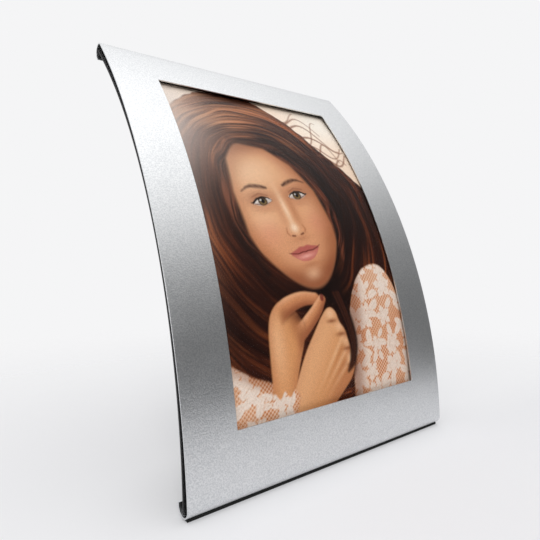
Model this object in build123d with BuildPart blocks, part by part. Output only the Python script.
"""Bowed desk photo frame: a rolled-edge metal sheet with a window, its sprung insert and a folding rear leg.

Millimetres. +Z is up, the picture faces -Y, and the origin lies on the table under the middle of the frame.
"""

import os
from math import acos, atan2, cos, degrees, hypot, radians, sin, sqrt

from build123d import *

os.makedirs("parts", exist_ok=True)

# Front sheet: bowed about a level axis behind it, its upper and lower edges rolled back
frame_width = 134.0
face_length = 188.5  # along the bowed face, from roll to roll
bow_radius = 253.5  # to the front of the face
foot_lean = 3.8  # degrees back from upright, where the face meets the lower roll
sheet_gauge = 0.5
roll_radius = 3.4  # outside
roll_turn = 195.0  # degrees, from the face round to the lip
window_width = 94.6
window_length = 147.8  # along the bowed face
window_rise = 20.5  # along the face, from the lower roll
window_corner = 0.5

# Rubber strip glued under the lower roll
strip_gauge = 0.7  # at its middle, under the roll
strip_height = 1.1  # at its front
strip_width = 3.4
strip_inset = 0.7  # ends short of the sheet's sides
glue_gap = 0.1

# Insert: clear cover, print and back panel, bowed between the rolls so that they spring onto the sheet
cover_gauge = 0.35
print_width = 102.0
print_length = 152.0
print_gauge = 0.2
backing_gauge = 0.8
face_gap = 0.1  # sheet to cover at mid-height, where the insert presses
roll_gap = 2.1  # sheet to cover at the rolls
layer_gap = 0.1
edge_gap = 0.3  # insert's edges to the inside of the rolls
side_inset = 0.2  # insert's ends short of the sheet's sides

# Hinge bracket on the back panel, with its rivets and pin
hinge_rise = 35.0  # pin above mid-height, along the panel
bracket_width = 40.0
bracket_length = 22.0
bracket_gauge = 0.8
plate_gap = 0.1  # bracket's plate to the back panel
bracket_corner = 4.0
ear_gauge = 1.0
ear_radius = 3.2
ear_foot = 11.0  # ear's length where it leaves the plate
pin_height = 5.5  # pin's axis above the bracket's plate
pin_radius = 1.25
pin_head_radius = 2.2
pin_head_height = 0.9
running_gap = 0.06  # pin in the leg, on the radius
rivet_span = 30.0
rivet_pitch = 12.0
rivet_radius = 1.2
rivet_gap = 0.02  # rivets in their holes, on the radius
rivet_head_radius = 2.3
rivet_head_height = 0.9
rivet_head_slope = 40.0  # degrees
flush_head_radius = 2.0
flush_head_depth = 0.3
flush_head_sink = 0.05

# Leg: a folded sheet channel, narrow at the pin and wider at the foot, with a rubber shoe
foot_reach = 76.0  # leg's foot behind the front of the lower roll
leg_top_width = 16.0
leg_foot_width = 28.0
leg_depth = 6.0
leg_gauge = 1.0
leg_bend = 1.5  # outside the folds between web and flanges
leg_neck = 9.0  # straight stretch below the pin
ear_gap = 0.3  # leg to each ear
stop_gap = 0.15  # leg's heel to the bracket when the leg is open
shoe_wall = 1.5
shoe_grip = 9.0  # how far the shoe reaches up the leg
shoe_sole = 2.0
shoe_corner = 2.0


def outward(lean):
    """Unit vector square to the sheet, out of its face, where it leans back by this many degrees."""
    return Vector(0, -cos(radians(lean)), sin(radians(lean)))


# The bow's centre puts the strip under the lower roll on the table, and the origin under the frame's middle
half_bow = degrees(face_length / 2 / bow_radius)
mid_lean = foot_lean + half_bow
head_lean = mid_lean + half_bow
sheet_back = bow_radius - sheet_gauge
roll_orbit = bow_radius - roll_radius
reach_front = roll_orbit * cos(radians(foot_lean)) + roll_radius
reach_back = roll_orbit * cos(radians(head_lean)) - roll_radius
foot_roll_height = strip_gauge + glue_gap + roll_radius
bow_centre = Vector(
    0, (reach_front + reach_back) / 2, foot_roll_height - roll_orbit * sin(radians(foot_lean))
)
bow_plane = Plane(origin=bow_centre, x_dir=outward(mid_lean), z_dir=(-1, 0, 0))
front_y = bow_centre.Y - reach_front

# The insert's own centre: its front passes face_gap behind the sheet at mid-height and roll_gap at the rolls
touch_radius = sheet_back - face_gap
seat_radius = sheet_back - roll_gap
seat_sag = touch_radius - seat_radius * cos(radians(half_bow))
insert_shift = (touch_radius**2 - seat_radius**2) / (2 * seat_sag)
insert_centre = bow_centre + outward(mid_lean) * insert_shift
insert_plane = Plane(origin=insert_centre, x_dir=outward(mid_lean), z_dir=(-1, 0, 0))
cover_front = touch_radius - insert_shift
cover_back = cover_front - cover_gauge
print_front = cover_back - layer_gap
print_back = print_front - print_gauge
backing_front = print_back - layer_gap
backing_back = backing_front - backing_gauge
insert_width = frame_width - 2 * side_inset

# Both rolls lie alike from the bow's centre and from the insert's
roll_across = roll_orbit * cos(radians(half_bow))
roll_up = roll_orbit * sin(radians(half_bow))
roll_distance = hypot(roll_across - insert_shift, roll_up)
roll_angle = degrees(atan2(roll_up, roll_across - insert_shift))


def arc_band(plane, outer, inner, low, high):
    """Band between two radii about the plane's origin, from one angle to another in degrees."""
    with BuildSketch(plane) as band:
        with BuildLine():
            front = CenterArc((0, 0), outer, low, high - low)
            back = CenterArc((0, 0), inner, low, high - low)
            Line(front @ 0, back @ 0)
            Line(front @ 1, back @ 1)
        make_face()
    return band.sketch


def insert_layer(front, back):
    """Section of a layer of the insert, its edges edge_gap clear of the inside of the rolls."""
    room = roll_radius - sheet_gauge - edge_gap
    past_roll = min(
        acos((roll_distance**2 + radius**2 - room**2) / (2 * roll_distance * radius))
        for radius in (front, back)
    )
    reach = roll_angle + degrees(past_roll)
    return arc_band(insert_plane, front, back, -reach, reach)


def seat_plane(rise, lift=0.0):
    """Plane on the back panel, rise up its arc from mid-height and lift off its back, facing backwards."""
    normal = outward(mid_lean + degrees(rise / backing_back))
    origin = insert_centre + normal * (backing_back - lift)
    return Plane(origin=origin, x_dir=(-1, 0, 0), z_dir=-normal)


def corner_edges(shape, gauge, half_width):
    """Short edges through a sheet of this gauge, at its corners this far from the middle."""
    return [
        edge
        for edge in shape.edges().filter_by(GeomType.LINE)
        if abs(edge.length - gauge) < gauge / 10 and abs(abs(edge.center().X) - half_width) < gauge / 10
    ]


# Front frame
with BuildPart() as front_frame:
    with BuildSketch(bow_plane):
        with BuildLine():
            CenterArc((0, 0), bow_radius, -half_bow, 2 * half_bow)
            CenterArc((0, 0), sheet_back, -half_bow, 2 * half_bow)
            for side in (-1, 1):
                roll_centre = (roll_across, side * roll_up)
                outside = CenterArc(roll_centre, roll_radius, side * half_bow, side * roll_turn)
                inside = CenterArc(roll_centre, roll_radius - sheet_gauge, side * half_bow, side * roll_turn)
                Line(outside @ 1, inside @ 1)
        make_face()
    extrude(amount=frame_width / 2, both=True)
    window_low = degrees(window_rise / bow_radius) - half_bow
    window_high = window_low + degrees(window_length / bow_radius)
    window = arc_band(
        bow_plane, bow_radius + sheet_gauge, sheet_back - sheet_gauge, window_low, window_high
    )
    extrude(window, amount=window_width / 2, both=True, mode=Mode.SUBTRACT)
    fillet(corner_edges(front_frame.part, sheet_gauge, window_width / 2), radius=window_corner)
front_frame.part.label = "front_frame"
export_step(front_frame.part, "parts/front_frame.step")

# Rubber strip, flat on the table and hollowed to the roll above it
with BuildPart() as grip_strip:
    roll_above = bow_centre + outward(foot_lean) * roll_orbit
    with BuildSketch(Plane(origin=(0, roll_above.Y, 0), x_dir=(0, 1, 0), z_dir=(1, 0, 0))):
        with Locations((0, strip_height / 2)):
            Rectangle(strip_width, strip_height)
        with Locations((0, foot_roll_height)):
            Circle(roll_radius + glue_gap, mode=Mode.SUBTRACT)
    extrude(amount=frame_width / 2 - strip_inset, both=True)
grip_strip.part.label = "grip_strip"
export_step(grip_strip.part, "parts/grip_strip.step")

# Clear cover
with BuildPart() as clear_cover:
    extrude(insert_layer(cover_front, cover_back), amount=insert_width / 2, both=True)
clear_cover.part.label = "clear_cover"
export_step(clear_cover.part, "parts/clear_cover.step")

# Print, centred on the window
with BuildPart() as photo_print:
    print_rise = window_rise + window_length / 2 - face_length / 2
    print_low = degrees((print_rise - print_length / 2) / print_front)
    print_high = degrees((print_rise + print_length / 2) / print_front)
    extrude(
        arc_band(insert_plane, print_front, print_back, print_low, print_high),
        amount=print_width / 2,
        both=True,
    )
photo_print.part.label = "photo_print"
export_step(photo_print.part, "parts/photo_print.step")

# Back panel, with holes for the bracket's rivets that are counterbored from the print's side
rivet_rises = (hinge_rise - rivet_pitch / 2, hinge_rise + rivet_pitch / 2)
flush_head_top = backing_gauge - flush_head_sink - flush_head_depth  # below the panel's back
with BuildPart() as backing_panel:
    extrude(insert_layer(backing_front, backing_back), amount=insert_width / 2, both=True)
    for rise in rivet_rises:
        with BuildSketch(seat_plane(rise, backing_gauge)):
            with GridLocations(rivet_span, 0, 2, 1):
                Circle(rivet_radius + rivet_gap)
        extrude(amount=-3 * backing_gauge, mode=Mode.SUBTRACT)
        with BuildSketch(seat_plane(rise, -flush_head_top)):
            with GridLocations(rivet_span, 0, 2, 1):
                Circle(flush_head_radius + rivet_gap)
        extrude(amount=-backing_gauge, mode=Mode.SUBTRACT)
backing_panel.part.label = "backing_panel"
export_step(backing_panel.part, "parts/backing_panel.step")

# Hinge bracket: a plate curved to the panel, with two ears turned up from it
plate_front = backing_back - plate_gap
plate_back = plate_front - bracket_gauge
plate_lift = plate_gap + bracket_gauge
hinge_seat = seat_plane(hinge_rise, plate_lift)
hinge_point = hinge_seat.origin + hinge_seat.z_dir * pin_height
ear_inside = leg_top_width / 2 + ear_gap
ear_outside = ear_inside + ear_gauge
pin_plane = Plane(origin=hinge_point, x_dir=hinge_seat.y_dir, z_dir=(1, 0, 0))
with BuildPart() as hinge_bracket:
    plate_low = degrees((hinge_rise - bracket_length / 2) / backing_back)
    plate_high = degrees((hinge_rise + bracket_length / 2) / backing_back)
    extrude(
        arc_band(insert_plane, plate_front, plate_back, plate_low, plate_high),
        amount=bracket_width / 2,
        both=True,
    )
    fillet(corner_edges(hinge_bracket.part, bracket_gauge, bracket_width / 2), radius=bracket_corner)
    for side in (-1, 1):
        ear_middle = hinge_seat.origin + Vector(side * (ear_inside + ear_gauge / 2), 0, 0)
        with BuildSketch(Plane(origin=ear_middle, x_dir=hinge_seat.y_dir, z_dir=(-1, 0, 0))):
            with BuildLine():
                Polyline(
                    (-ear_foot / 2, -bracket_gauge / 2),
                    (ear_foot / 2, -bracket_gauge / 2),
                    (ear_radius, pin_height),
                    (-ear_radius, pin_height),
                    close=True,
                )
            make_face()
            with Locations((0, pin_height)):
                Circle(ear_radius)
                Circle(pin_radius, mode=Mode.SUBTRACT)
        extrude(amount=ear_gauge / 2, both=True)
    for rise in rivet_rises:
        with BuildSketch(seat_plane(rise, plate_lift + bracket_gauge)):
            with GridLocations(rivet_span, 0, 2, 1):
                Circle(rivet_radius + rivet_gap)
        extrude(amount=-3 * bracket_gauge, mode=Mode.SUBTRACT)
hinge_bracket.part.label = "hinge_bracket"
export_step(hinge_bracket.part, "parts/hinge_bracket.step")

# Rivets: a flush head inside the panel, a shank, and a round head on the bracket's curved plate
head_seat = plate_lift + rivet_head_radius**2 / (2 * plate_back)
with BuildPart() as bracket_rivets:
    for rise in rivet_rises:
        with BuildSketch(seat_plane(rise, -flush_head_top)):
            with GridLocations(rivet_span, 0, 2, 1):
                Circle(flush_head_radius)
        extrude(amount=-flush_head_depth)
        with BuildSketch(seat_plane(rise, -flush_head_top)):
            with GridLocations(rivet_span, 0, 2, 1):
                Circle(rivet_radius)
        extrude(amount=flush_head_top + head_seat)
        with BuildSketch(seat_plane(rise, head_seat)):
            with GridLocations(rivet_span, 0, 2, 1):
                Circle(rivet_head_radius)
        extrude(amount=rivet_head_height, taper=rivet_head_slope)
bracket_rivets.part.label = "bracket_rivets"
export_step(bracket_rivets.part, "parts/bracket_rivets.step")

# Hinge pin, headed at both ends outside the ears
with BuildPart() as hinge_pin:
    with BuildSketch(pin_plane):
        Circle(pin_radius)
    extrude(amount=ear_outside, both=True)
    for side in (-1, 1):
        with BuildSketch(pin_plane.offset(side * ear_outside)):
            Circle(pin_head_radius)
        extrude(amount=side * pin_head_height)
    head_rims = hinge_pin.edges().filter_by(GeomType.CIRCLE).group_by(SortBy.RADIUS)[-1].sort_by(Axis.X)
    chamfer([head_rims[0], head_rims[-1]], length=pin_head_height / 2)
hinge_pin.part.label = "hinge_pin"
export_step(hinge_pin.part, "parts/hinge_pin.step")

# The open leg runs from the pin to its foot on the table; its plane faces backwards, with y down the leg
leg_run = front_y + foot_reach - hinge_point.Y
leg_tilt = atan2(leg_run, hinge_point.Z)
leg_down = Vector(0, sin(leg_tilt), -cos(leg_tilt))
leg_back = Vector(0, cos(leg_tilt), sin(leg_tilt))
leg_plane = Plane(origin=hinge_point, x_dir=(1, 0, 0), z_dir=leg_back)
leg_length = (hinge_point.Z - shoe_sole - leg_depth / 2 * sin(leg_tilt)) / cos(leg_tilt)

# The heel above the pin meets the bracket's plate and stops the leg when it is open
heel_start = hinge_point - leg_back * (leg_depth / 2) - insert_centre
heel_run = heel_start.dot(leg_down)
heel = heel_run + sqrt(heel_run**2 - heel_start.dot(heel_start) + (plate_back - stop_gap) ** 2)


def leg_outline(plane, inset, top, bottom):
    """Leg's outline on a plane, its sides drawn in by inset, from top above the pin to bottom below it."""
    top_half = leg_top_width / 2 - inset
    foot_half = leg_foot_width / 2 - inset
    with BuildSketch(plane) as outline:
        with BuildLine():
            Polyline(
                (-top_half, -top),
                (top_half, -top),
                (top_half, leg_neck),
                (foot_half, bottom),
                (-foot_half, bottom),
                (-top_half, leg_neck),
                close=True,
            )
        make_face()
    return outline.sketch


# Leg: web behind, two flanges forward to the pin, and a closed foot end
leg_front = leg_plane.offset(-leg_depth / 2)
with BuildPart() as stand_leg:
    extrude(leg_outline(leg_front, 0, heel, leg_length), amount=leg_depth)
    extrude(
        leg_outline(leg_front, leg_gauge, heel + leg_gauge, leg_length - leg_gauge),
        amount=leg_depth - leg_gauge,
        mode=Mode.SUBTRACT,
    )
    web = stand_leg.faces().sort_by(Axis(hinge_point, leg_back))[-1]
    fillet(web.edges().sort_by(Axis(hinge_point, leg_down))[1:], radius=leg_bend)
    with BuildSketch(pin_plane):
        Circle(pin_radius + running_gap)
    extrude(amount=leg_top_width, both=True, mode=Mode.SUBTRACT)
stand_leg.part.label = "stand_leg"
export_step(stand_leg.part, "parts/stand_leg.step")

# Rubber shoe around the leg's end, its sole flat on the table
with BuildPart() as leg_foot:
    with BuildSketch(leg_plane.offset(-leg_depth / 2 - shoe_wall)):
        with Locations((0, leg_length)):
            Rectangle(leg_foot_width + 2 * shoe_wall, 2 * shoe_grip)
    extrude(amount=leg_depth + 2 * shoe_wall)
    fillet(leg_foot.edges().filter_by(Axis(hinge_point, leg_down)), radius=shoe_corner)
    extrude(leg_outline(leg_front, 0, heel, leg_length), amount=leg_depth, mode=Mode.SUBTRACT)
    split(bisect_by=Plane.XY, keep=Keep.TOP)
leg_foot.part.label = "leg_foot"
export_step(leg_foot.part, "parts/leg_foot.step")

print("insert radius", round(cover_front, 2))
print("pin at y", round(hinge_point.Y, 3), "z", round(hinge_point.Z, 3))
print("leg tilt", round(degrees(leg_tilt), 2), "length", round(leg_length, 2), "heel", round(heel, 3))
print("sole at y", round(front_y + foot_reach, 3), "front at y", round(front_y, 3))
